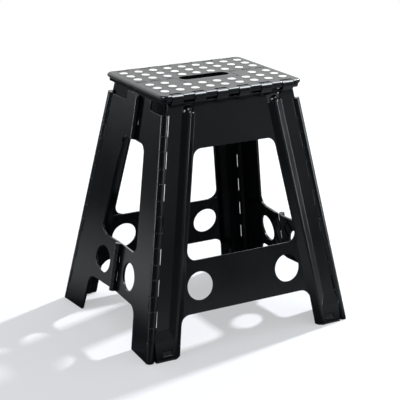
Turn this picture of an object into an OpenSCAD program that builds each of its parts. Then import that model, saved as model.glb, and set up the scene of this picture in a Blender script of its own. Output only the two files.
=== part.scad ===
// Folding step stool with a hinged top, two slanted panels and four folding side leaves.
// All sizes are in millimetres, the floor is z = 0 and the front of the stool looks along -Y.

/* [Overall] */
// Height from the floor to the top of the grip dots
height = 450; // [300:1:600]
// Half the width between the corner hinge lines at the floor
foot_half_width = 200.5; // [150:0.5:260]
// Half the depth between the corner hinge lines at the floor
foot_half_depth = 171.4; // [120:0.1:220]
// Lean of the side leaves from upright, in degrees
side_lean = 9.5; // [5:0.1:14]
// Lean of the front and back panels from upright, in degrees
panel_lean = 9.62; // [5:0.01:14]

/* [Top] */
// Full width of the top
top_width = 281; // [200:1:360]
// Full depth of the top
top_depth = 223; // [160:1:300]
// Outer corner radius of the top
top_corner = 13; // [6:0.5:30]
// Thickness of the flat skin of the top
skin = 4; // [2:0.5:6]
// Radius of the half-round nosing around the edge
nosing = 4; // [2:0.5:6]
// Depth of the lip below the nosing
lip_drop = 6; // [3:0.5:10]
// Wall thickness of the lip and of the ribs below the skin
lip_wall = 2.4; // [1.2:0.1:4]
// Height of the ribs below the skin
top_rib_drop = 6; // [2:0.5:8]
// Width of the seam left between the two halves
seam = 0.6; // [0.2:0.1:2]

/* [Top hinges] */
// Distance of each top hinge line from the centre plane
top_hinge_y = 106; // [80:0.5:130]
// Radius of the top hinge knuckles
top_knuckle_r = 7; // [5:0.5:9]
// Radius of the eyes of the top between the knuckles
eye_r = 5.4; // [4:0.1:8]
// Length of one top hinge knuckle
top_knuckle = 22; // [12:0.5:30]
// Spacing of the top hinge knuckles
top_knuckle_pitch = 44; // [30:0.5:60]
// Radius of the top hinge rods
top_pin_r = 2; // [1:0.1:3]

/* [Handle] */
// Half the width of the handle tongue
tongue_half = 54.5; // [40:0.5:70]
// Reach of the handle tongue past the seam
tongue_reach = 32; // [20:0.5:45]
// Half the length of the handle slot
slot_half = 49; // [35:0.5:60]
// Front edge of the handle slot
slot_front = -17; // [-28:0.5:-10]
// Back edge of the handle slot
slot_back = 9.5; // [0:0.5:20]
// Gap between the tongue and the notch of the front half
tongue_gap = 0.9; // [0.4:0.1:2]

/* [Grip dots] */
// Diameter of one grip dot
dot_d = 15; // [8:0.5:20]
// Height of a dot above the top surface
dot_rise = 0.8; // [0.2:0.1:2]
// Depth of a dot below the top surface
dot_sink = 1.2; // [0.5:0.1:2.5]
// Spacing of the dots along the width
dot_pitch_x = 29.6; // [20:0.1:40]
// Spacing of the dot rows along the depth
dot_pitch_y = 28.05; // [20:0.05:40]
// Distance of the first dot row from the centre
dot_first_y = 23.1; // [15:0.1:30]

/* [Centre hinge] */
// Radius of the centre hinge rods
centre_pin_r = 1.3; // [1:0.1:2.5]
// Radius of the centre hinge knuckles
centre_knuckle_r = 2.8; // [2:0.1:5]
// Depth of the centre rods below the top surface
centre_pin_drop = 12; // [5:0.1:14]
// Reach of the front teeth past the seam
tooth_reach = 2.5; // [1:0.1:5]
// Depth of the slots for the teeth in the back half
tooth_slot = 5.5; // [3:0.1:9]
// Length of the gap between the ribs of the front half and the seam
rib_stop = 12; // [6:0.5:20]

/* [Corner hinges] */
// Radius of the corner hinge barrels
barrel_r = 7.5; // [5:0.1:9]
// Radius of the corner hinge rods
corner_pin_r = 2; // [1:0.1:3]
// Start of the lowest panel knuckle along the hinge line
first_knuckle = 35.9; // [20:0.1:60]
// Spacing of the panel knuckles along the hinge line
knuckle_pitch = 54.74; // [40:0.01:80]
// Length of one panel knuckle
panel_knuckle = 25.9; // [15:0.1:40]
// Top of the corner barrels along the hinge line
barrel_top = 425.6; // [300:0.1:500]
// Gap between neighbouring knuckles
knuckle_gap = 0.6; // [0.3:0.1:1.5]
// Clearance around a knuckle inside its pocket
pocket_gap = 0.9; // [0.6:0.1:3]

/* [Panels] */
// Outer face of the panel sheet beyond the hinge plane
sheet_face = 4.4; // [3:0.1:7]
// Thickness of the moulded sheets
sheet = 2.8; // [2:0.1:4]
// Outer face of the apron between the ridges, above the crossbar
apron_face = 1.4; // [0:0.1:4]
// Outer face of the crossbar between the ridges
bar_face = -0.3; // [-1:0.1:3]
// Thickness of the recessed sheets between the ridges
middle_sheet = 1.6; // [1.2:0.1:3]
// Depth of the stiffening walls behind the recessed sheets
middle_rib = 0.4; // [0.2:0.1:1]
// Lower edge of the crossbar
bar_low = 69.3; // [50:0.1:110]
// Upper edge of the crossbar
bar_high = 163; // [120:0.5:220]
// Upper edge of the panel window
window_top = 355.6; // [300:0.1:400]
// Half width of the window at its upper edge
window_half_top = 81; // [50:0.5:100]
// Half width of the window at its lower edge
window_half_low = 113.4; // [70:0.1:130]
// Corner radius of the windows
window_r = 17; // [6:0.5:30]
// Half the distance between the feet of one panel
arch_half_low = 142.2; // [120:0.1:170]
// Half the distance between the legs below the crossbar
arch_half_high = 132; // [110:0.5:160]
// Corner radius below the crossbar
arch_r = 20; // [8:0.5:35]
// Radius of the round holes in the crossbars
hole_r = 25.4; // [15:0.1:30]
// Distance of a panel hole from the centre
panel_hole_x = 89.5; // [60:0.5:110]
// Height of the hole centres along the panel
hole_up = 116.6; // [90:0.1:150]

/* [Legs] */
// Inner edge of the ridge top from the centre at the floor
ridge_half_low = 152.7; // [120:0.1:170]
// Face of the ridge beyond the hinge plane
ridge_face = 8; // [6:0.1:11]
// Width of the flat top of the ridge
ridge_flat = 4.5; // [2:0.1:12]
// Run of the ridge from its inner top edge to the channel beside the barrels
ridge_out = 16; // [10:0.5:24]
// Run of the inward slope from the ridge top to the apron
ridge_in = 10.5; // [6:0.1:16]
// Rounding of the ridge shoulders
ridge_round = 3; // [1:0.1:5]
// Wall thickness of the hollow ridge
ridge_wall = 2.2; // [1.2:0.1:4]
// Upper end of the ridge along the panel
ridge_top = 425; // [380:0.5:440]
// Radius of the rounded upper end of the ridge
scoop_r = 11; // [6:0.1:14]
// Depth of the centre of the rounded end inside the hinge plane
scoop_back = 3; // [0:0.1:6]
// Outer face of the foot pad beyond the hinge plane
pad_face = 7.5; // [6:0.1:10]
// Inner face of the foot pad inside the hinge plane
pad_inner = 3; // [0:0.1:5]
// Height of the foot pad
pad_top = 34; // [20:0.5:50]
// Run of the sloped facet above the foot pad
pad_facet = 20; // [5:0.5:25]
// Width of the latch slot in the foot pad
latch_w = 19.5; // [10:0.5:30]
// Height of the latch slot in the foot pad
latch_h = 9; // [4:0.5:14]
// Height of the latch slot centre
latch_up = 12.5; // [10:0.5:25]
// Distance of the latch slot centre from the middle
latch_x = 168; // [150:0.5:180]
// Rounding of the inner lower corner of each foot
sole_round = 5; // [2:0.5:8]

/* [Side leaves] */
// Depth of the outer face inside the middle hinge line
leaf_inset = 4.5; // [3:0.1:7]
// Angle of the leaf sheet to the plane of its two hinges, in degrees
leaf_kink = 3.85; // [0:0.05:8]
// Radius of the middle hinge barrels
mid_barrel_r = 5.5; // [4:0.1:8]
// Radius of the middle hinge rods
mid_pin_r = 1.75; // [1:0.05:3]
// Clearance around a middle knuckle inside its pocket
mid_pocket_gap = 0.9; // [0.5:0.1:2]
// Play of the rods in the opened right middle hinge
open_play = 0.7; // [0.3:0.05:1.5]
// Upper edge of the leaf beside the middle hinge
leaf_top = 433; // [380:0.5:440]
// Upper edge of the leaf beside the corner
leaf_notch_top = 417; // [380:0.5:430]
// Distance of the notch from the middle hinge
leaf_notch_q = 45.5; // [20:0.5:80]
// Lower edge of the leaf crossbar
leaf_bar_low = 74; // [50:0.5:110]
// Lower edge of the upper part of the leaf
leaf_window_top = 354; // [300:0.5:400]
// Half width of the side window at its upper edge
leaf_window_q_top = 42; // [15:0.5:60]
// Half width of the side window at its lower edge
leaf_window_q_low = 71.5; // [40:0.5:100]
// Inner edge of the leaf foot at the floor
leaf_foot_q = 105; // [80:0.5:130]
// Inner edge of the leaf leg below its crossbar
leaf_arch_q = 91.5; // [70:0.5:120]
// Distance of the leaf hole from the middle hinge
leaf_hole_q = 52.4; // [35:0.1:70]
// Height of the ribs on the inner faces of the leaves
leaf_rib = 1.6; // [0.5:0.1:3]
// Width of the ribs on panels and leaves
rib_w = 1.8; // [1:0.1:3]
// Gap between a leaf foot and the floor
leaf_lift = 1; // [0:0.1:4]

/* [Rubber feet] */
// Thickness of the rubber sole
sole = 3; // [1.5:0.1:6]
// Running clearance of the hinge rods
pin_play = 0.06; // [0.02:0.01:0.1]

/* [Hidden] */
$fn = 48;

big = 600;
// Small swell of rounded corners, so that each arc crosses its straight edges cleanly
blend = 0.01;
deck = height - dot_rise;
hinge_z = deck - top_knuckle_r;
skin_z = deck - skin;
half_w = top_width / 2;
half_d = top_depth / 2;
corner_in = top_corner - nosing;
panel_taper = atan(tan(side_lean) * cos(panel_lean));
leaf_taper = atan(tan(panel_lean) * cos(side_lean));
panel_knuckles = 7;
leaf_zone = knuckle_pitch - panel_knuckle;
centre_z = deck - centre_pin_drop;
sheet_inner = sheet_face - sheet;
panel_step = height - 31;
panel_top = height - 11;
ridge_slope = (ridge_face - apron_face) / ridge_in;
ridge_bar_run = (ridge_face - bar_face) / ridge_slope;
rib_line = half_d - 19.5;
mid_low_start = leaf_bar_low - 0.5;
mid_low_count = 5;
mid_low_knuckle = (bar_high + 0.5 - mid_low_start) / mid_low_count;
mid_high_start = leaf_window_top + 1;
mid_high_count = 3;
mid_high_knuckle = (leaf_top - mid_high_start) / mid_high_count;
knuckle_xs = [-110, -66, -22, 22, 66, 110];
lip_open = knuckle_xs[5] + top_knuckle / 2;
rod_end = half_w - 11;
eye_xs = [-88, -44, 0, 44, 88];
tooth_ranges = [[57, 70], [84, 102], [113, half_w - 9.5]];
centre_knuckles = [[71, 83], [103, 112]];

black = [0.07, 0.07, 0.075];
steel = [0.55, 0.56, 0.58];
white = [0.92, 0.92, 0.9];
rubber = [0.12, 0.12, 0.12];

// Rounded outlines

function unit(v) = v / norm(v);
function before(pts, i) = unit(pts[(i + len(pts) - 1) % len(pts)] - pts[i]);
function after(pts, i) = unit(pts[(i + 1) % len(pts)] - pts[i]);
function half_angle(pts, i) = acos(before(pts, i) * after(pts, i)) / 2;
function touch_run(pts, radii, i) = radii[i] / tan(half_angle(pts, i));
function first_touch(pts, radii, i) = pts[i] + touch_run(pts, radii, i) * before(pts, i);
function second_touch(pts, radii, i) = pts[i] + touch_run(pts, radii, i) * after(pts, i);
function touches(pts, radii, i) = radii[i] > 0
    ? [first_touch(pts, radii, i), second_touch(pts, radii, i)]
    : [pts[i]];
function arc_centre(pts, radii, i) = pts[i]
    + unit(before(pts, i) + after(pts, i)) * radii[i] / sin(half_angle(pts, i));

module rounded_polygon(pts, radii, swell = blend) {
    polygon([for (i = [0 : len(pts) - 1]) each touches(pts, radii, i)]);
    for (i = [0 : len(pts) - 1])
        if (radii[i] > 0)
            translate(arc_centre(pts, radii, i))
                circle(r = radii[i] + swell);
}

// Sheets that stand in the panel frame, with the outline drawn across and up
module standing(from, to) {
    translate([0, to, 0])
        rotate([90, 0, 0])
            linear_extrude(height = to - from)
                children();
}

// Sheets that stand in the leaf frame, with the outline drawn towards the corner and up
module leaf_sheet(from, to) {
    translate([from, 0, 0])
        rotate([90, 0, -90])
            mirror([0, 0, 1])
                linear_extrude(height = to - from)
                    children();
}

module both_sides() {
    children();
    mirror([1, 0, 0])
        children();
}

module rod_x(x0, x1, y, z, r) {
    translate([x0, y, z])
        rotate([0, 90, 0])
            cylinder(r = r, h = x1 - x0);
}

// Placing

module place_front_panel() {
    translate([0, -foot_half_depth, 0])
        rotate([-panel_lean, 0, 0])
            children();
}

module place_left_side() {
    translate([-foot_half_width, 0, 0])
        rotate([0, side_lean, 0])
            children();
}

module kinked() {
    rotate([0, 0, -leaf_kink])
        children();
}

module corner_in_panel() {
    translate([-foot_half_width, 0, 0])
        rotate([0, panel_taper, 0])
            children();
}

module corner_in_leaf() {
    translate([0, -foot_half_depth, 0])
        rotate([-leaf_taper, 0, 0])
            children();
}

module above_floor(lift) {
    difference() {
        children();
        translate([-big, -big, lift - big])
            cube([2 * big, 2 * big, big]);
    }
}

// Knuckle rows along a hinge line

module panel_zones(r, inset) {
    for (k = [0 : panel_knuckles - 1])
        translate([0, 0, first_knuckle + k * knuckle_pitch + inset])
            cylinder(r = r, h = panel_knuckle - 2 * inset);
}

module leaf_zones(r, inset) {
    translate([0, 0, -10])
        cylinder(r = r, h = first_knuckle - inset + 10);
    for (k = [1 : panel_knuckles - 1])
        translate([0, 0, first_knuckle + k * knuckle_pitch - leaf_zone + inset])
            cylinder(r = r, h = leaf_zone - 2 * inset);
    translate([0, 0, first_knuckle + panel_knuckles * knuckle_pitch - leaf_zone + inset])
        cylinder(r = r, h = barrel_top - first_knuckle - panel_knuckles * knuckle_pitch + leaf_zone - inset);
}

module line_bore(r) {
    translate([0, 0, -20])
        cylinder(r = r, h = barrel_top + 40);
}

// Front or back panel

module panel_outline() {
    edge_low = foot_half_width + 8 * tan(panel_taper);
    edge_step = foot_half_width - panel_step * tan(panel_taper);
    edge_top = foot_half_width - panel_top * tan(panel_taper);
    difference() {
        polygon([[-edge_low, -8], [-edge_step, panel_step], [3 - edge_step, panel_step],
            [3 - edge_top, panel_top], [edge_top - 3, panel_top], [edge_step - 3, panel_step],
            [edge_step, panel_step], [edge_low, -8]]);
        panel_openings(0);
    }
}

module panel_openings(grow) {
    rounded_polygon([[-window_half_top - grow, window_top + grow],
        [window_half_top + grow, window_top + grow],
        [window_half_low + grow, bar_high - grow],
        [-window_half_low - grow, bar_high - grow]],
        [window_r + grow, window_r + grow, window_r + grow, window_r + grow]);
    rounded_polygon([[-arch_half_low - grow - 1.5, -14],
        [-arch_half_high - grow, bar_low + grow],
        [arch_half_high + grow, bar_low + grow],
        [arch_half_low + grow + 1.5, -14]],
        [0, arch_r + grow, arch_r + grow, 0]);
    arch_lean = (arch_half_low + 1.5 - arch_half_high) / (14 + bar_low);
    edge = arch_half_low + 1.2 - (14 + sole_round) * arch_lean;
    both_sides() {
        translate([panel_hole_x, hole_up])
            circle(r = hole_r + grow);
        difference() {
            translate([edge - 1, -20])
                square([sole_round + 1, 20 + sole_round]);
            translate([edge + sole_round, sole_round])
                circle(r = sole_round);
        }
    }
}

// Part of the panel plane between the two ridges, from one height to another
module between_ridges(low, high, run) {
    half_low = ridge_half_low - run + 1 - low * tan(panel_taper);
    half_high = ridge_half_low - run + 1 - high * tan(panel_taper);
    intersection() {
        polygon([[-half_low, low], [half_low, low], [half_high, high], [-half_high, high]]);
        children();
    }
}

// Ridge along one leg, in a frame that follows the leg
module along_ridge() {
    translate([-ridge_half_low, 0, 0])
        rotate([0, panel_taper, 0])
            children();
}

// Cross-section of the ridge, drawn outwards from the hinge plane down to the crossbar
module ridge_outline() {
    rounded_polygon([[-ridge_out, sheet_inner], [-ridge_out, sheet_face], [-ridge_flat, ridge_face],
        [0, ridge_face], [ridge_bar_run, bar_face], [ridge_bar_run, bar_face - middle_sheet]],
        [0, 0, ridge_round, ridge_round, 0, 0]);
}

module ridge_room() {
    wall_drop = ridge_wall * sqrt(1 + ridge_slope * ridge_slope);
    low = bar_face - middle_sheet - 1;
    polygon([[1.5 - ridge_out, sheet_inner - 3], [1.5 - ridge_out, sheet_inner],
        [-ridge_flat, ridge_face - ridge_wall], [0, ridge_face - wall_drop],
        [(ridge_face - wall_drop - low) / ridge_slope, low]]);
}

module ridge_length(from, to) {
    translate([0, 0, from])
        linear_extrude(height = to - from)
            mirror([0, 1])
                children();
}

// The back of the ridge is trimmed to the thinner apron above the crossbar
module ridge() {
    along_ridge() {
        difference() {
            ridge_length(-12, ridge_top)
                ridge_outline();
            ridge_length(pad_top + pad_facet + 4, ridge_top - 12)
                ridge_room();
            translate([-big, middle_sheet - apron_face, bar_high + 6])
                cube([2 * big, big, big]);
        }
        translate([-ridge_flat, scoop_back, ridge_top])
            intersection() {
                sphere(r = scoop_r);
                translate([-big / 2, -big - apron_face - scoop_back + 0.5, -big / 2])
                    cube([big, big, big]);
            }
    }
}

// Raised foot pad with the sloped facet above it
module foot_pad() {
    x0 = -foot_half_width + barrel_r + pocket_gap + 1.5;
    x1 = -ridge_half_low - 0.8;
    translate([x0, 0, 0])
        rotate([90, 0, 90])
            linear_extrude(height = x1 - x0)
                polygon([[pad_inner, -8], [pad_inner, pad_top - 6], [-sheet_inner, pad_top + 8],
                    [-sheet_face, pad_top + pad_facet], [-pad_face, pad_top], [-pad_face, -8]]);
}

module pad_room() {
    translate([-latch_x - latch_w / 2 - 1.5, -pad_face + 2.4, -10])
        cube([latch_w + 3, 5, 34]);
    translate([-latch_x - latch_w / 2, -pad_face - 1, latch_up - latch_h / 2])
        cube([latch_w, 6, latch_h]);
}

// Upright wall behind the sheet along an opening
module opening_walls() {
    difference() {
        intersection() {
            panel_outline();
            panel_openings(rib_w);
        }
        panel_openings(0);
    }
}

module panel_lattice() {
    for (i = [-6 : 6]) {
        translate([i * 26, (bar_low + bar_high) / 2])
            rotate(35)
                square([rib_w, 150], center = true);
        translate([i * 26, (bar_low + bar_high) / 2])
            rotate(-35)
                square([rib_w, 150], center = true);
    }
}

module panel_ribs() {
    for (x = [-66, -22, 22, 66])
        translate([x - rib_w / 2, window_top])
            square([rib_w, panel_top - 3 - window_top]);
}

// Recessed sheet of one zone with its stiffening walls
module middle_zone(low, high, run, face) {
    inner = middle_sheet - face;
    standing(-face, inner)
        between_ridges(low, high, run)
            panel_outline();
    standing(-face, inner + middle_rib)
        between_ridges(low, high, run - 1)
            opening_walls();
    standing(-face, inner + middle_rib)
        between_ridges(low, high, run)
            intersection() {
                panel_outline();
                children();
            }
}

module middle_sheets() {
    middle_zone(bar_low - arch_r, bar_high, ridge_bar_run, bar_face)
        panel_lattice();
    middle_zone(bar_high, panel_top, ridge_in, apron_face)
        panel_ribs();
}

// Sheet between the ridge and the barrels of one side
module channel_sheet() {
    half_low = ridge_half_low + ridge_out - 1 + 8 * tan(panel_taper);
    half_high = ridge_half_low + ridge_out - 1 - panel_top * tan(panel_taper);
    standing(-sheet_face, -sheet_inner)
        intersection() {
            panel_outline();
            polygon([[-half_low, -8], [-half_high, panel_top], [-big, panel_top], [-big, -8]]);
        }
}

// Necks and shelf that join the sheet to the top hinge line, drawn across the depth
module hinge_neck(x0, x1) {
    translate([x0, 0, 0])
        rotate([90, 0, 90])
            linear_extrude(height = x1 - x0)
                polygon([[-top_hinge_y - 6, hinge_z - 3], [-top_hinge_y - 3, hinge_z - 10],
                    [-top_hinge_y + 2.5, hinge_z - 16], [-top_hinge_y + 7.3, hinge_z - 16],
                    [-top_hinge_y + 7.3, hinge_z - 8], [-top_hinge_y + 6.4, hinge_z - 2],
                    [-top_hinge_y, hinge_z + 2]]);
}

module panel_shelf() {
    x1 = 120;
    translate([-x1, 0, 0])
        rotate([90, 0, 90])
            linear_extrude(height = 2 * x1)
                polygon([[-top_hinge_y - 2.5, hinge_z - 8], [-top_hinge_y - 2.5, hinge_z - 10.5],
                    [-top_hinge_y + 2.5, hinge_z - 14], [-top_hinge_y + 7.3, hinge_z - 14],
                    [-top_hinge_y + 7.3, hinge_z - 8]]);
}

module panel_body() {
    difference() {
        union() {
            middle_sheets();
            both_sides() {
                channel_sheet();
                ridge();
                foot_pad();
            }
        }
        both_sides() {
            pad_room();
            corner_in_panel()
                leaf_zones(barrel_r + pocket_gap, 0);
            corner_in_panel()
                translate([0, 0, -20])
                    cylinder(r = barrel_r + pocket_gap, h = first_knuckle + 20);
        }
        standing(-big, big)
            panel_openings(0);
    }
    both_sides()
        corner_in_panel()
            panel_zones(barrel_r, knuckle_gap / 2);
}

module panel() {
    difference() {
        union() {
            above_floor(sole)
                place_front_panel()
                    difference() {
                        panel_body();
                        both_sides()
                            corner_in_panel()
                                line_bore(corner_pin_r);
                    }
            panel_shelf();
            for (x = knuckle_xs) {
                rod_x(x - top_knuckle / 2, x + top_knuckle / 2, -top_hinge_y, hinge_z, top_knuckle_r);
                hinge_neck(x - top_knuckle / 2, x + top_knuckle / 2);
            }
        }
        rod_x(-half_w, half_w, -top_hinge_y, hinge_z, top_pin_r);
    }
}

module front_panel() {
    color(black)
        panel();
}

module back_panel() {
    color(black)
        mirror([0, 1, 0])
            panel();
}

// Side leaves

module leaf_outline() {
    cut_low = cos(leaf_kink) * (foot_half_depth + 8 * tan(leaf_taper));
    cut_high = cos(leaf_kink) * (foot_half_depth - leaf_notch_top * tan(leaf_taper));
    difference() {
        polygon([[seam, -8], [seam, leaf_top], [leaf_notch_q, leaf_top], [leaf_notch_q, leaf_notch_top],
            [cut_high, leaf_notch_top], [cut_low, -8]]);
        leaf_openings(0);
    }
}

module leaf_openings(grow) {
    rounded_polygon([[-30, leaf_window_top + grow],
        [leaf_window_q_top + grow, leaf_window_top + grow],
        [leaf_window_q_low + grow, bar_high - grow],
        [-30, bar_high - grow]],
        [0, window_r + grow, window_r + grow, 0]);
    rounded_polygon([[-30, -14],
        [-30, leaf_bar_low + grow],
        [leaf_arch_q + grow, leaf_bar_low + grow],
        [leaf_foot_q + grow + 2.5, -14]],
        [0, 0, arch_r + grow, 0]);
    translate([leaf_hole_q, hole_up])
        circle(r = hole_r + grow);
}

module leaf_walls() {
    difference() {
        intersection() {
            leaf_outline();
            leaf_openings(rib_w);
        }
        leaf_openings(0);
        translate([-30, leaf_window_top - 1])
            square([big, big]);
        translate([-1, 0])
            square([10, big]);
    }
}

module leaf_lattice() {
    intersection() {
        leaf_outline();
        translate([12, leaf_bar_low])
            square([foot_half_depth - 68, bar_high - leaf_bar_low]);
        for (i = [-1 : 6]) {
            translate([i * 26, (leaf_bar_low + bar_high) / 2])
                rotate(35)
                    square([rib_w, 150], center = true);
            translate([i * 26, (leaf_bar_low + bar_high) / 2])
                rotate(-35)
                    square([rib_w, 150], center = true);
        }
    }
}

// Row of middle knuckles, every second one starting with the given index
module mid_row(start, size, count, first, r, inset) {
    for (k = [first : 2 : count - 1])
        translate([0, 0, start + k * size + inset])
            cylinder(r = r, h = size - 2 * inset);
}

module mid_rows(first, r, inset) {
    mid_row(mid_low_start, mid_low_knuckle, mid_low_count, first, r, inset);
    mid_row(mid_high_start, mid_high_knuckle, mid_high_count, first, r, inset);
}

// Necks from the leaf sheet to its own middle knuckles
module mid_necks(first) {
    for (k = [first : 2 : mid_low_count - 1])
        translate([0.4, -leaf_inset - 1, mid_low_start + k * mid_low_knuckle + knuckle_gap / 2])
            cube([leaf_inset + 1.6, leaf_inset + 0.6, mid_low_knuckle - knuckle_gap]);
    for (k = [first : 2 : mid_high_count - 1])
        translate([0.4, -leaf_inset - 1, mid_high_start + k * mid_high_knuckle + knuckle_gap / 2])
            cube([leaf_inset + 1.6, leaf_inset + 0.6, mid_high_knuckle - knuckle_gap]);
}

// One leaf in the left side frame, reaching forward, with odd or even middle knuckles
module leaf(first, pin_hole_r) {
    difference() {
        union() {
            difference() {
                kinked() {
                    leaf_sheet(leaf_inset, leaf_inset + sheet)
                        leaf_outline();
                    leaf_sheet(leaf_inset, leaf_inset + sheet + leaf_rib)
                        leaf_walls();
                    leaf_sheet(leaf_inset, leaf_inset + sheet + leaf_rib - 0.4)
                        leaf_lattice();
                }
                corner_in_leaf()
                    panel_zones(barrel_r + pocket_gap, 0);
                mid_rows(1 - first, mid_barrel_r + mid_pocket_gap, 0);
            }
            corner_in_leaf()
                leaf_zones(barrel_r, knuckle_gap / 2);
            mid_rows(first, mid_barrel_r, knuckle_gap / 2);
            mid_necks(first);
        }
        corner_in_leaf()
            line_bore(corner_pin_r + pin_play);
        mid_rows(first, pin_hole_r, -1);
    }
}

module placed_leaf(first, pin_hole_r) {
    above_floor(leaf_lift)
        place_left_side()
            leaf(first, pin_hole_r);
}

module left_front_leaf() {
    color(black)
        placed_leaf(0, mid_pin_r);
}

module left_back_leaf() {
    color(black)
        mirror([0, 1, 0])
            placed_leaf(1, mid_pin_r + pin_play);
}

module right_front_leaf() {
    color(black)
        mirror([1, 0, 0])
            placed_leaf(0, mid_pin_r);
}

module right_back_leaf() {
    color(black)
        mirror([1, 0, 0])
            mirror([0, 1, 0])
                placed_leaf(1, mid_pin_r + open_play);
}

// Top halves, drawn with the hinge edge at the front

module deck_shape(inset) {
    r = top_corner - inset;
    rounded_polygon([[-half_w + inset, 40], [-half_w + inset, -half_d + inset],
        [half_w - inset, -half_d + inset], [half_w - inset, 40]], [0, r, r, 0], 0);
}

module seam_side() {
    intersection() {
        children();
        translate([-big, -big])
            square([2 * big, big - seam / 2]);
    }
}

module corner_nosing() {
    translate([-half_w + top_corner, -half_d + top_corner, skin_z])
        rotate([0, 0, 180])
            rotate_extrude(angle = 90)
                translate([corner_in, 0])
                    circle(r = nosing);
}

module edge_nosing() {
    both_sides() {
        corner_nosing();
        translate([-half_w + nosing, -half_d + top_corner, skin_z])
            rotate([-90, 0, 0])
                cylinder(r = nosing, h = half_d - top_corner - seam / 2);
    }
    rod_x(-half_w + top_corner, half_w - top_corner, -half_d + nosing, skin_z, nosing);
}

module lip_ring() {
    difference() {
        deck_shape(nosing);
        deck_shape(nosing + lip_wall);
    }
}

// Gap below the seam that lets the two halves meet underneath when they fold up
module fold_wedge() {
    translate([-big, 0, 0])
        rotate([90, 0, 90])
            linear_extrude(height = 2 * big)
                polygon([[1, skin_z - 0.2], [-0.4, skin_z - 0.2], [-1, skin_z - 3], [-2.2, skin_z - 5],
                    [-3.9, skin_z - 7], [-6.2, skin_z - 9], [-7.7, skin_z - 10.2], [-7.7, skin_z - 20],
                    [1, skin_z - 20]]);
}

module half_ribs() {
    low = skin_z - top_rib_drop;
    front_end = tongue_reach + tongue_gap + lip_wall + 1.5;
    for (x = [-118, -88, -60, 60, 88, 118])
        translate([x - lip_wall / 2, -rib_line, low])
            cube([lip_wall, rib_line - rib_stop, top_rib_drop]);
    for (x = [-30, 0, 30])
        translate([x - lip_wall / 2, -rib_line, low])
            cube([lip_wall, rib_line - front_end, top_rib_drop]);
    for (y = [-rib_line, -(rib_line + front_end) / 2, -front_end])
        translate([nosing + 1 - half_w, y - lip_wall / 2, low])
            cube([2 * (half_w - nosing - 1), lip_wall, top_rib_drop]);
}

module half_top() {
    difference() {
        union() {
            translate([0, 0, skin_z])
                linear_extrude(height = skin)
                    seam_side()
                        deck_shape(nosing);
            edge_nosing();
            difference() {
                translate([0, 0, skin_z - nosing - lip_drop])
                    linear_extrude(height = nosing + lip_drop + 1)
                        seam_side()
                            lip_ring();
                translate([-lip_open, -big - top_hinge_y + 8, skin_z - 20])
                    cube([2 * lip_open, big, 20]);
            }
            half_ribs();
        }
        fold_wedge();
        for (x = knuckle_xs)
            translate([x - top_knuckle / 2 - 0.6, -half_d - 5, skin_z - 20])
                cube([top_knuckle + 1.2, half_d + 5 - top_hinge_y + top_knuckle_r + 0.6, 40]);
    }
}

module hinge_eyes() {
    for (x = eye_xs)
        rod_x(x - top_knuckle / 2 + 0.6, x + top_knuckle / 2 - 0.6, -top_hinge_y, hinge_z, eye_r);
    both_sides()
        rod_x(lip_open + 0.6, half_w - 9.5, -top_hinge_y, hinge_z, eye_r);
}

module hinge_bore() {
    rod_x(-half_w + 8, half_w - 8, -top_hinge_y, hinge_z, top_pin_r + pin_play);
}

// Dots of one half at negative depth, leaving out columns near the middle of the first row
module dots(skip, rise) {
    for (row = [0 : 2])
        for (col = [-4 : 4])
            if (row > 0 || abs(col) > skip)
                translate([col * dot_pitch_x, -dot_first_y - row * dot_pitch_y, deck - dot_sink])
                    cylinder(r = dot_d / 2, h = dot_sink + rise);
}

module teeth(grow, reach) {
    both_sides()
        for (t = tooth_ranges)
            translate([t[0] - grow, -3, skin_z])
                cube([t[1] - t[0] + 2 * grow, 3 + reach, skin]);
}

module top_front() {
    color(black)
        difference() {
            union() {
                half_top();
                hinge_eyes();
                teeth(0, tooth_reach);
                translate([-tongue_half - tongue_gap - lip_wall, -tongue_reach - tongue_gap - lip_wall,
                    skin_z - 5])
                    cube([2 * (tongue_half + tongue_gap + lip_wall), lip_wall, 6]);
            }
            translate([-tongue_half - tongue_gap, -tongue_reach - tongue_gap, skin_z - 20])
                cube([2 * (tongue_half + tongue_gap), big, 40]);
            hinge_bore();
            dots(2, 1);
        }
}

// Outline of the handle slot with round ends
module slot_shape(grow) {
    r = (slot_back - slot_front) / 2;
    mid = (slot_back + slot_front) / 2;
    translate([-slot_half + r, mid - r - grow])
        square([2 * slot_half - 2 * r, 2 * r + 2 * grow]);
    for (x = [-slot_half + r, slot_half - r])
        translate([x, mid])
            circle(r = r + grow);
}

module tongue() {
    translate([0, 0, skin_z])
        linear_extrude(height = skin)
            rounded_polygon([[-tongue_half, 6], [-tongue_half, -tongue_reach],
                [tongue_half, -tongue_reach], [tongue_half, 6]], [0, 5, 5, 0]);
    translate([0, 0, skin_z - 5])
        linear_extrude(height = 6)
            difference() {
                translate([-tongue_half + 1.5, -tongue_reach + 1.5])
                    square([2 * tongue_half - 3, tongue_reach + 12]);
                translate([-tongue_half + 1.5 + lip_wall, -tongue_reach + 1.5 + lip_wall])
                    square([2 * (tongue_half - 1.5 - lip_wall), tongue_reach + 20]);
            }
    translate([0, 0, skin_z - 5])
        linear_extrude(height = 6)
            slot_shape(lip_wall);
}

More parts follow.
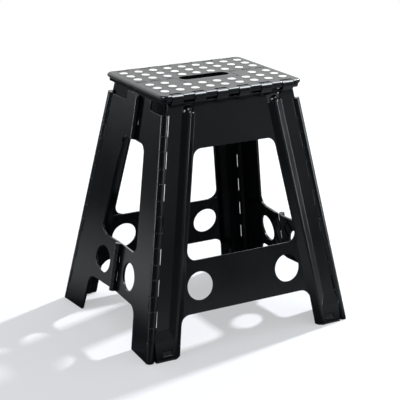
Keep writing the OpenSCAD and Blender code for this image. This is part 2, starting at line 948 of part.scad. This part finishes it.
module top_back() {
    color(black)
        difference() {
            union() {
                difference() {
                    mirror([0, 1, 0]) {
                        half_top();
                        hinge_eyes();
                    }
                    teeth(0.6, tooth_slot);
                }
                tongue();
                both_sides()
                    for (k = centre_knuckles)
                        intersection() {
                            union() {
                                rod_x(k[0], k[1], 0, centre_z, centre_knuckle_r);
                                translate([k[0], seam / 2, centre_z])
                                    cube([k[1] - k[0], 5 - seam / 2, skin_z + 1 - centre_z]);
                            }
                            translate([-big, -big, centre_z - 9])
                                cube([2 * big, 2 * big, skin_z + 1 - centre_z + 9]);
                        }
            }
            translate([0, 0, skin_z - 20])
                linear_extrude(height = 40)
                    slot_shape(0);
            mirror([0, 1, 0])
                hinge_bore();
            both_sides()
                rod_x(56, rod_end + 1, 0, centre_z, centre_pin_r);
            mirror([0, 1, 0])
                dots(-1, 1);
        }
}

// Rods

module front_top_pin() {
    color(steel)
        rod_x(-rod_end, rod_end, -top_hinge_y, hinge_z, top_pin_r);
}

module back_top_pin() {
    color(steel)
        rod_x(-rod_end, rod_end, top_hinge_y, hinge_z, top_pin_r);
}

module centre_pin_left() {
    color(steel)
        rod_x(-rod_end, -58, 0, centre_z, centre_pin_r);
}

module centre_pin_right() {
    color(steel)
        rod_x(58, rod_end, 0, centre_z, centre_pin_r);
}

module corner_pin() {
    color(steel)
        place_front_panel()
            corner_in_panel()
                translate([0, 0, 6])
                    cylinder(r = corner_pin_r, h = barrel_top - 8);
}

module corner_pin_front_left() {
    corner_pin();
}

module corner_pin_front_right() {
    mirror([1, 0, 0])
        corner_pin();
}

module corner_pin_back_left() {
    mirror([0, 1, 0])
        corner_pin();
}

module corner_pin_back_right() {
    mirror([1, 0, 0])
        mirror([0, 1, 0])
            corner_pin();
}

module mid_pin(start, size, count) {
    color(steel)
        place_left_side()
            translate([0, 0, start + 1])
                cylinder(r = mid_pin_r, h = size * count - 2);
}

module mid_pin_left_lower() {
    mid_pin(mid_low_start, mid_low_knuckle, mid_low_count);
}

module mid_pin_left_upper() {
    mid_pin(mid_high_start, mid_high_knuckle, mid_high_count);
}

module mid_pin_right_lower() {
    mirror([1, 0, 0])
        mid_pin_left_lower();
}

module mid_pin_right_upper() {
    mirror([1, 0, 0])
        mid_pin_left_upper();
}

// Grip dots

module top_front_dots() {
    color(white)
        dots(2, dot_rise);
}

module top_back_dots() {
    color(white)
        mirror([0, 1, 0])
            dots(-1, dot_rise);
}

// Rubber feet

module foot() {
    color(rubber) {
        intersection() {
            place_front_panel()
                difference() {
                    union() {
                        foot_pad();
                        ridge();
                    }
                    standing(-big, big)
                        panel_openings(0);
                }
            translate([-big, -big, 0])
                cube([2 * big, 2 * big, sole]);
        }
        above_floor(sole - 0.5)
            place_front_panel() {
                translate([-latch_x - latch_w / 2 - 1.3, -pad_face + 2.6, 0])
                    cube([latch_w + 2.6, 4.6, 22.5]);
                translate([-latch_x - latch_w / 2 + 0.3, -pad_face + 1, latch_up - latch_h / 2 + 0.3])
                    cube([latch_w - 0.6, 3, latch_h - 0.6]);
            }
    }
}

module foot_front_left() {
    foot();
}

module foot_front_right() {
    mirror([1, 0, 0])
        foot();
}

module foot_back_left() {
    mirror([0, 1, 0])
        foot();
}

module foot_back_right() {
    mirror([1, 0, 0])
        mirror([0, 1, 0])
            foot();
}

front_panel();
back_panel();
top_front();
top_back();
left_front_leaf();
left_back_leaf();
right_front_leaf();
right_back_leaf();
front_top_pin();
back_top_pin();
centre_pin_left();
centre_pin_right();
corner_pin_front_left();
corner_pin_front_right();
corner_pin_back_left();
corner_pin_back_right();
mid_pin_left_lower();
mid_pin_left_upper();
mid_pin_right_lower();
mid_pin_right_upper();
top_front_dots();
top_back_dots();
foot_front_left();
foot_front_right();
foot_back_left();
foot_back_right();
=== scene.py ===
"""Looks of the folding step stool: black moulded plastic with white grip dots, on a pale studio floor.

Lengths are metres in the stool's own frame: +Z is up, the front panel faces -Y, and +X is to its right as
seen from the front.
Colours are linear red, green and blue.
"""

import math

import bpy
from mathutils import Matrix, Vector


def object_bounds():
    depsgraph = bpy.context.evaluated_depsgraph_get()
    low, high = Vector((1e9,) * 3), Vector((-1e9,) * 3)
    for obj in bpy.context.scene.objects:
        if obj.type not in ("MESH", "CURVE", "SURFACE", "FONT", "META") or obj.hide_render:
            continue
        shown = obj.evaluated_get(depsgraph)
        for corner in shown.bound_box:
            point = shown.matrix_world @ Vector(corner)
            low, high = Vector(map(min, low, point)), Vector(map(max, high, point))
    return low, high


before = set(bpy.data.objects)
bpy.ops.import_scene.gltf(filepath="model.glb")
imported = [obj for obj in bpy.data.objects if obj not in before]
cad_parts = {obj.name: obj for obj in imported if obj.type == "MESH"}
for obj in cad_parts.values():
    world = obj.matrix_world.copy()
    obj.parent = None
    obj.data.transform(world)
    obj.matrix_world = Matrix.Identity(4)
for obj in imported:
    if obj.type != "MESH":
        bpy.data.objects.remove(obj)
cad_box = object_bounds()


# Shared values

STOOL_HEIGHT = cad_box[1][2]
DOT_RISE = 0.0008  # the grip dots stand this far above the deck
DECK_HEIGHT = STOOL_HEIGHT - DOT_RISE

NOISE_RANGE = (0.3, 0.7)  # most of a noise's values lie in here
PURE_WHITE = (1, 1, 1, 1)
COOL_WHITE = (0.88, 0.96, 1, 1)


# Node helpers

def feed(tree, value, target):
    """Gives an input its value: a number, a colour or another node's output."""
    if isinstance(value, bpy.types.NodeSocket):
        tree.links.new(value, target)
    else:
        target.default_value = value


def add(tree, kind, **values):
    """A node with its settings and inputs given by name, an underscore standing for a space."""
    node = tree.nodes.new(kind)
    for key, value in values.items():
        if hasattr(node, key):
            setattr(node, key, value)
        else:
            feed(tree, value, node.inputs[key.replace("_", " ")])
    return node


def empty_tree(owner, output_kind):
    """The cleared node tree of a material or a world, with its output node."""
    owner.use_nodes = True
    tree = owner.node_tree
    tree.nodes.clear()
    return tree, tree.nodes.new(output_kind)


def new_material(name):
    """An empty node material, its tree and its output node."""
    material = bpy.data.materials.new(name)
    tree, output = empty_tree(material, "ShaderNodeOutputMaterial")
    return material, tree, output


def principled(tree, output, **values):
    """Puts a Principled shader with these inputs on a material's output."""
    shader = add(tree, "ShaderNodeBsdfPrincipled", **values)
    feed(tree, shader.outputs["BSDF"], output.inputs["Surface"])


def place(tree):
    """The point of the surface on its piece, which stays the same when the piece moves."""
    return add(tree, "ShaderNodeTexCoord").outputs["Object"]


def noise(tree, scale, detail, rough=0.5):
    """Noise that is fixed to the piece, with its scale per metre."""
    node = add(tree, "ShaderNodeTexNoise", Vector=place(tree), Scale=scale, Detail=detail, Roughness=rough)
    return node.outputs["Fac"]


def ramp(tree, source, span, result):
    """A clamped straight map from one range to another."""
    low, high = span
    first, last = result
    node = add(tree, "ShaderNodeMapRange", Value=source)
    for key, value in {"From Min": low, "From Max": high, "To Min": first, "To Max": last}.items():
        node.inputs[key].default_value = value
    return node.outputs["Result"]


def join(tree, operation, first, second):
    """Two values joined by one operation; either may be a number."""
    node = add(tree, "ShaderNodeMath", operation=operation)
    feed(tree, first, node.inputs[0])
    feed(tree, second, node.inputs[1])
    return node.outputs["Value"]


def mix_colours(tree, factor, first, second):
    """A colour between two, by a factor."""
    node = add(tree, "ShaderNodeMix", data_type="RGBA", Factor=factor, A=(*first, 1), B=(*second, 1))
    return node.outputs["Result"]


def mix_values(tree, factor, first, second):
    """A value between two, by a factor; either may be a number."""
    return add(tree, "ShaderNodeMix", data_type="FLOAT", Factor=factor, A=first, B=second).outputs["Result"]


def soft_edge(tree, radius, samples=8):
    """A normal that rounds the edges over a small radius."""
    return add(tree, "ShaderNodeBevel", samples=samples, Radius=radius).outputs["Normal"]


def bump(tree, height, strength, distance, normal=None):
    """A bump from a height, on top of another normal where one is given."""
    node = add(tree, "ShaderNodeBump", Height=height, Strength=strength, Distance=distance)
    if normal is not None:
        feed(tree, normal, node.inputs["Normal"])
    return node.outputs["Normal"]


# Materials

def clouds(tree):
    """Broad, faint flow marks of moulded plastic."""
    return noise(tree, scale=9.0, detail=4.0, rough=0.6)


def painted_crevice_shade(tree):
    """Gloss turned down inside gaps, slots and inner corners as painted shade, where hardly any light
    arrives.
    """
    gap_width = 0.006
    openness, gloss = (0.5, 0.95), (0.02, 0.5)
    shade = add(tree, "ShaderNodeAmbientOcclusion", samples=8, Distance=gap_width)
    return ramp(tree, shade.outputs["AO"], openness, gloss)


def moulded_black():
    """Satin black moulded plastic with a faint grain, slight flow marks and softened edges."""
    deep, faded = (0.0016, 0.0020, 0.0025), (0.0030, 0.0036, 0.0043)
    satin, scuffed = (0.15, 0.21), (0.0, 0.06)
    scuff_range = (0.5, 0.8)
    material, tree, output = new_material("moulded_black_plastic")
    grain = noise(tree, scale=1500.0, detail=2.0)
    flow = clouds(tree)
    scuff = noise(tree, scale=120.0, detail=6.0, rough=0.7)
    even_part = ramp(tree, flow, NOISE_RANGE, satin)
    scuffed_part = ramp(tree, scuff, scuff_range, scuffed)
    edges = soft_edge(tree, radius=0.0013)
    flow_marks = bump(tree, flow, strength=0.10, distance=0.002, normal=edges)
    principled(
        tree,
        output,
        Base_Color=mix_colours(tree, flow, deep, faded),
        Roughness=join(tree, "ADD", even_part, scuffed_part),
        # painted shade: gloss turned down inside gaps and inner corners
        Specular_IOR_Level=painted_crevice_shade(tree),
        Specular_Tint=COOL_WHITE,
        Normal=bump(tree, grain, strength=0.02, distance=0.00005, normal=flow_marks),
    )
    return material


def gritty_black():
    """The top's plastic: black with a fine raised grain on the upper face, plain satin on the sides; the
    upper face is coloured grey, partly for its grain and partly as painted sheen of light at a glancing
    angle.
    """
    # The deck's grey is partly its grainy finish and partly painted sheen of light at a glancing angle.
    side_black, deck_grey_and_painted_sheen = (0.0035, 0.0038, 0.0042), (0.028, 0.029, 0.030)
    satin, coarse = (0.13, 0.19), (0.46, 0.52)
    fade_depth = 0.0004
    deck_range = (DECK_HEIGHT - fade_depth, DECK_HEIGHT - fade_depth / 2)
    material, tree, output = new_material("gritty_black_plastic")
    height = add(tree, "ShaderNodeSeparateXYZ", Vector=place(tree)).outputs["Z"]
    deck = ramp(tree, height, deck_range, (0.0, 1.0))
    grit = noise(tree, scale=900.0, detail=2.0, rough=0.6)
    flow = clouds(tree)
    side_roughness = ramp(tree, flow, NOISE_RANGE, satin)
    deck_roughness = ramp(tree, flow, NOISE_RANGE, coarse)
    raised = join(tree, "MULTIPLY", grit, deck)
    edges = soft_edge(tree, radius=0.0008)
    principled(
        tree,
        output,
        # partly painted sheen: the upper face is coloured a lighter grey than the sides
        Base_Color=mix_colours(tree, deck, side_black, deck_grey_and_painted_sheen),
        Roughness=mix_values(tree, deck, side_roughness, deck_roughness),
        # painted shade: gloss turned down inside gaps and inner corners
        Specular_IOR_Level=painted_crevice_shade(tree),
        Specular_Tint=COOL_WHITE,
        Normal=bump(tree, raised, strength=0.5, distance=0.0004, normal=edges),
    )
    return material


def steel():
    """Steel rod with a fine, slightly uneven finish, coloured far darker than bare steel as painted shade for
    where it shows in the gaps between knuckles.
    """
    # Both steel colours are painted shade: far darker than bare steel, for the shade in the knuckle gaps.
    dark, bright = (0.06, 0.06, 0.063), (0.11, 0.112, 0.116)
    brushed = (0.28, 0.42)
    material, tree, output = new_material("drawn_steel_rod")
    finish = noise(tree, scale=700.0, detail=4.0, rough=0.6)
    principled(
        tree,
        output,
        Base_Color=mix_colours(tree, finish, dark, bright),
        Metallic=1.0,
        Roughness=ramp(tree, finish, NOISE_RANGE, brushed),
        Normal=bump(tree, finish, strength=0.2, distance=0.0001),
    )
    return material


def white_rubber():
    """Soft white rubber of the grip dots, a little dusty and slightly rough."""
    clean, dusty = (0.86, 0.86, 0.84), (0.80, 0.80, 0.78)
    soft_sheen = (0.5, 0.62)
    material, tree, output = new_material("white_grip_rubber")
    dust = noise(tree, scale=160.0, detail=5.0, rough=0.65)
    fine = noise(tree, scale=1800.0, detail=2.0)
    edges = soft_edge(tree, radius=0.0006, samples=6)
    principled(
        tree,
        output,
        Base_Color=mix_colours(tree, dust, clean, dusty),
        Roughness=ramp(tree, dust, NOISE_RANGE, soft_sheen),
        Specular_IOR_Level=0.35,
        Normal=bump(tree, fine, strength=0.25, distance=0.0002, normal=edges),
    )
    return material


def foot_rubber():
    """Matte black rubber of the foot inserts, with a dry speckle."""
    black, dark_grey = (0.004, 0.004, 0.004), (0.012, 0.012, 0.012)
    matte = (0.6, 0.8)
    material, tree, output = new_material("matte_foot_rubber")
    speck = noise(tree, scale=600.0, detail=4.0, rough=0.7)
    principled(
        tree,
        output,
        Base_Color=mix_colours(tree, speck, black, dark_grey),
        Roughness=ramp(tree, speck, NOISE_RANGE, matte),
        Specular_IOR_Level=0.3,
        Normal=bump(tree, speck, strength=0.4, distance=0.0003),
    )
    return material


def give_materials():
    """Gives each node of the stool its material, by its name."""
    panel_look, top_look, rod_look = moulded_black(), gritty_black(), steel()
    dot_look, foot_look = white_rubber(), foot_rubber()
    for name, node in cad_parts.items():
        if name.endswith("_dots"):
            look = dot_look
        elif name in ("top_front", "top_back"):
            look = top_look
        elif "pin" in name:
            look = rod_look
        elif name.startswith("foot_"):
            look = foot_look
        else:
            look = panel_look
        node.data.materials.clear()
        node.data.materials.append(look)


# Floor, surroundings, lamps and camera

def floor_material():
    """Pale floor that shows shadows near the stool and fades to white away from it.

    Reflections see a painted glow instead of the lit floor: painted shadow under the stool, palest just
    beside it, dark further off and paler again far away.
    """
    floor_colour = (0.86, 0.895, 0.96, 1)
    clear_of_stool, clear_share = (0.28, 0.5), (0.05, 1.0)
    beside_stool, beside_glow = (0.7, 1.5), (0.46, 0.02)
    far_away, far_glow = (2.8, 6.5), (0.0, 0.24)
    fading, white_part = (1.0, 2.6), (0.4, 1.0)
    full_glow, reflected_part = 1.0, 0.95

    material, tree, output = new_material("pale_floor")
    path = add(tree, "ShaderNodeLightPath")
    camera_ray, glossy_ray = path.outputs["Is Camera Ray"], path.outputs["Is Glossy Ray"]
    away = add(tree, "ShaderNodeVectorMath", operation="LENGTH", Vector=place(tree)).outputs["Value"]

    # painted shadow in reflections: the glow goes dark under the stool, where its shadow falls
    clear = ramp(tree, away, clear_of_stool, clear_share)
    beside = join(tree, "MULTIPLY", ramp(tree, away, beside_stool, beside_glow), clear)
    reflected = join(tree, "ADD", beside, ramp(tree, away, far_away, far_glow))
    # painted reflection: reflections see the floor as this glow, not as the lit floor
    strength = mix_values(tree, glossy_ray, full_glow, reflected)
    seen_white = join(tree, "MULTIPLY", camera_ray, ramp(tree, away, fading, white_part))
    reflected_white = join(tree, "MULTIPLY", glossy_ray, reflected_part)

    diffuse = add(tree, "ShaderNodeBsdfDiffuse", Color=floor_colour)
    glow = add(tree, "ShaderNodeEmission", Color=PURE_WHITE, Strength=strength)
    mix = add(tree, "ShaderNodeMixShader", Fac=join(tree, "ADD", seen_white, reflected_white))
    feed(tree, diffuse.outputs["BSDF"], mix.inputs[1])
    feed(tree, glow.outputs["Emission"], mix.inputs[2])
    feed(tree, mix.outputs["Shader"], output.inputs["Surface"])
    return material


def pale_floor():
    """A large square floor under the stool."""
    half = 9.0
    corners = [(-half, -half, 0), (half, -half, 0), (half, half, 0), (-half, half, 0)]
    mesh = bpy.data.meshes.new("floor")
    mesh.from_pydata(corners, [], [(0, 1, 2, 3)])
    mesh.materials.append(floor_material())
    floor = bpy.data.objects.new("floor", mesh)
    bpy.context.scene.collection.objects.link(floor)


def studio_world():
    """Surroundings that the camera sees white and that light the stool evenly.

    Reflections see them brightest behind the stool, and brighter on its right than on its left.
    """
    behind, behind_glow = (0.1, 0.8), (0.0, 1.4)
    to_the_right, right_glow = (-0.3, 0.5), (0.02, 0.28)
    even_light = 0.6

    world = bpy.data.worlds.new("studio")
    bpy.context.scene.world = world
    tree, output = empty_tree(world, "ShaderNodeOutputWorld")
    path = add(tree, "ShaderNodeLightPath")
    direction = add(tree, "ShaderNodeTexCoord").outputs["Generated"]
    towards = add(tree, "ShaderNodeSeparateXYZ", Vector=direction)
    back_part = ramp(tree, towards.outputs["Y"], behind, behind_glow)
    right_part = ramp(tree, towards.outputs["X"], to_the_right, right_glow)
    reflected = join(tree, "ADD", back_part, right_part)
    lit = join(tree, "MULTIPLY", path.outputs["Is Diffuse Ray"], even_light)
    shown = join(tree, "MULTIPLY", path.outputs["Is Glossy Ray"], reflected)
    strength = join(tree, "ADD", join(tree, "ADD", lit, shown), path.outputs["Is Camera Ray"])
    background = add(tree, "ShaderNodeBackground", Color=PURE_WHITE, Strength=strength)
    feed(tree, background.outputs["Background"], output.inputs["Surface"])


def turn_towards(obj, aim):
    """Turns a lamp or a camera so that it looks at a point."""
    obj.rotation_euler = (Vector(aim) - obj.location).to_track_quat("-Z", "Y").to_euler()


def lamp(name, at, aim, width, height, power, lights=True):
    """A rectangular lamp aimed at a point; with lights off it is a panel that shows only in reflections."""
    data = bpy.data.lights.new(name, "AREA")
    data.shape = "RECTANGLE"
    data.size = width
    data.size_y = height
    data.energy = power
    obj = bpy.data.objects.new(name, data)
    obj.visible_diffuse = lights
    obj.visible_camera = False
    bpy.context.scene.collection.objects.link(obj)
    obj.location = at
    turn_towards(obj, aim)


def studio_lamps():
    """A key lamp that casts the shadow, and four panels that make the highlights on the black plastic."""
    lower_middle = (0, 0, 0.2)
    deck_centre = (0, 0, STOOL_HEIGHT)
    near_leg = (-0.15, -0.15, 0.25)
    front_face = (0, -0.15, 0.25)
    left_face = (-0.15, 0, 0.25)
    lamp("key", at=(3.1, 0.85, 2.55), aim=lower_middle, width=0.2, height=0.2, power=195)
    lamp("overhead", at=(1.2, -0.3, 2.47), aim=deck_centre, width=1.7, height=0.9, power=90, lights=False)
    lamp("upper_left", at=(-1.67, -0.84, 1.82), aim=near_leg, width=0.8, height=0.8, power=45, lights=False)
    lamp("front_strip", at=(2.36, -1.85, 0.6), aim=front_face, width=0.4, height=1.2, power=26, lights=False)
    lamp("left_strip", at=(-2.8, 1.0, 0.6), aim=left_face, width=0.4, height=1.2, power=16, lights=False)


def camera():
    """The photograph's viewpoint, with its angle of view in radians and its sensor in millimetres."""
    eye, aim = (-1.14027, -2.02848, 0.97493), (-0.00563, 0.0, 0.21521)
    view_angle = 0.29888
    sensor = 36.0
    farthest = 60.0
    data = bpy.data.cameras.new("camera")
    data.sensor_width = sensor
    data.lens = sensor / 2 / math.tan(view_angle / 2)
    data.clip_end = farthest
    obj = bpy.data.objects.new("camera", data)
    bpy.context.scene.collection.objects.link(obj)
    obj.location = eye
    turn_towards(obj, aim)
    bpy.context.scene.camera = obj


# The scene

give_materials()
pale_floor()
studio_world()
studio_lamps()
camera()
bpy.context.scene.view_settings.view_transform = "Standard"
